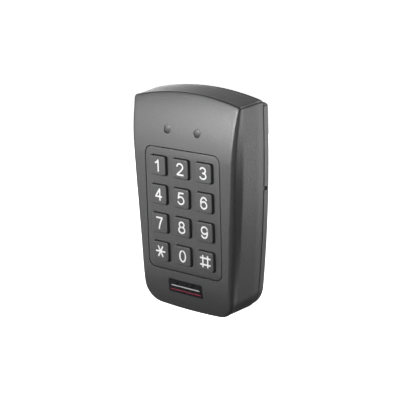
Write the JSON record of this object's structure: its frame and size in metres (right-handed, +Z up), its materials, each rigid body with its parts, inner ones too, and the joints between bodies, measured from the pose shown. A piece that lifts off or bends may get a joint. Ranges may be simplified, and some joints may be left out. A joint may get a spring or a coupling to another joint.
{
  "type": "rfid card reader",
  "caption": "Wall-mounted proximity card reader with a telephone-style keypad, arched charcoal case, status lamps and cable entry at the back.",
  "frame": {"origin": "middle of the flat back face that lies against the wall", "axes": "+X to the right seen from the front, +Y into the wall, +Z up"},
  "size_m": [0.0756, 0.0296, 0.122],
  "materials": {
    "case_plastic": "charcoal ABS, fine spark-eroded texture",
    "bezel_plastic": "charcoal ABS, fine texture",
    "key_plastic": "satin moulded key cap with printed legend",
    "back_plate_plastic": "charcoal ABS, satin",
    "keypad_silicone": "matte silicone sheet",
    "gasket_rubber": "black rubber",
    "grommet_rubber": "black rubber",
    "led_lens": "smoked epoxy, glossy",
    "badge_gloss": "black gloss plate with a plain dark-red line",
    "board_laminate": "solder-masked laminate",
    "copper_coil": "enamelled copper wire",
    "black_resin": "moulded epoxy",
    "buzzer_case": "black moulded case",
    "capacitor_can": "drawn can",
    "connector_nylon": "natural nylon",
    "zinc_screw": "zinc plated",
    "steel_screw": "stainless"
  },
  "bodies": {
    "case": {"front_cover": "case_plastic", "keypad_bezel": "bezel_plastic", "keypad_mat": "keypad_silicone", "status_led_left": "led_lens", "status_led_right": "led_lens", "badge": "badge_gloss", "circuit_board": "board_laminate", "board_screw_1": "zinc_screw", "board_screw_2": "zinc_screw", "board_screw_3": "zinc_screw", "board_screw_4": "zinc_screw", "antenna_coil": "copper_coil", "microcontroller": "black_resin", "radio_chip": "black_resin", "buzzer": "buzzer_case", "capacitor": "capacitor_can", "tamper_sensor": "black_resin", "cable_connector": "connector_nylon", "case_gasket": "gasket_rubber", "back_plate": "back_plate_plastic", "cable_grommet": "grommet_rubber", "case_screw": "steel_screw"},
    "key_1": {"key_1": "key_plastic"},
    "key_2": {"key_2": "key_plastic"},
    "key_3": {"key_3": "key_plastic"},
    "key_4": {"key_4": "key_plastic"},
    "key_5": {"key_5": "key_plastic"},
    "key_6": {"key_6": "key_plastic"},
    "key_7": {"key_7": "key_plastic"},
    "key_8": {"key_8": "key_plastic"},
    "key_9": {"key_9": "key_plastic"},
    "key_star": {"key_star": "key_plastic"},
    "key_0": {"key_0": "key_plastic"},
    "key_hash": {"key_hash": "key_plastic"}
  },
  "joints": [
    {"name": "key_1_press", "type": "slide", "parent": "case", "child": "key_1", "axis": [0, 1, 0], "range_m": [0, 0.0012], "stiffness_N_per_m": 900, "springref_m": -0.0005},
    {"name": "key_2_press", "type": "slide", "parent": "case", "child": "key_2", "axis": [0, 1, 0], "range_m": [0, 0.0012], "stiffness_N_per_m": 900, "springref_m": -0.0005},
    {"name": "key_3_press", "type": "slide", "parent": "case", "child": "key_3", "axis": [0, 1, 0], "range_m": [0, 0.0012], "stiffness_N_per_m": 900, "springref_m": -0.0005},
    {"name": "key_4_press", "type": "slide", "parent": "case", "child": "key_4", "axis": [0, 1, 0], "range_m": [0, 0.0012], "stiffness_N_per_m": 900, "springref_m": -0.0005},
    {"name": "key_5_press", "type": "slide", "parent": "case", "child": "key_5", "axis": [0, 1, 0], "range_m": [0, 0.0012], "stiffness_N_per_m": 900, "springref_m": -0.0005},
    {"name": "key_6_press", "type": "slide", "parent": "case", "child": "key_6", "axis": [0, 1, 0], "range_m": [0, 0.0012], "stiffness_N_per_m": 900, "springref_m": -0.0005},
    {"name": "key_7_press", "type": "slide", "parent": "case", "child": "key_7", "axis": [0, 1, 0], "range_m": [0, 0.0012], "stiffness_N_per_m": 900, "springref_m": -0.0005},
    {"name": "key_8_press", "type": "slide", "parent": "case", "child": "key_8", "axis": [0, 1, 0], "range_m": [0, 0.0012], "stiffness_N_per_m": 900, "springref_m": -0.0005},
    {"name": "key_9_press", "type": "slide", "parent": "case", "child": "key_9", "axis": [0, 1, 0], "range_m": [0, 0.0012], "stiffness_N_per_m": 900, "springref_m": -0.0005},
    {"name": "key_star_press", "type": "slide", "parent": "case", "child": "key_star", "axis": [0, 1, 0], "range_m": [0, 0.0012], "stiffness_N_per_m": 900, "springref_m": -0.0005},
    {"name": "key_0_press", "type": "slide", "parent": "case", "child": "key_0", "axis": [0, 1, 0], "range_m": [0, 0.0012], "stiffness_N_per_m": 900, "springref_m": -0.0005},
    {"name": "key_hash_press", "type": "slide", "parent": "case", "child": "key_hash", "axis": [0, 1, 0], "range_m": [0, 0.0012], "stiffness_N_per_m": 900, "springref_m": -0.0005}
  ]
}
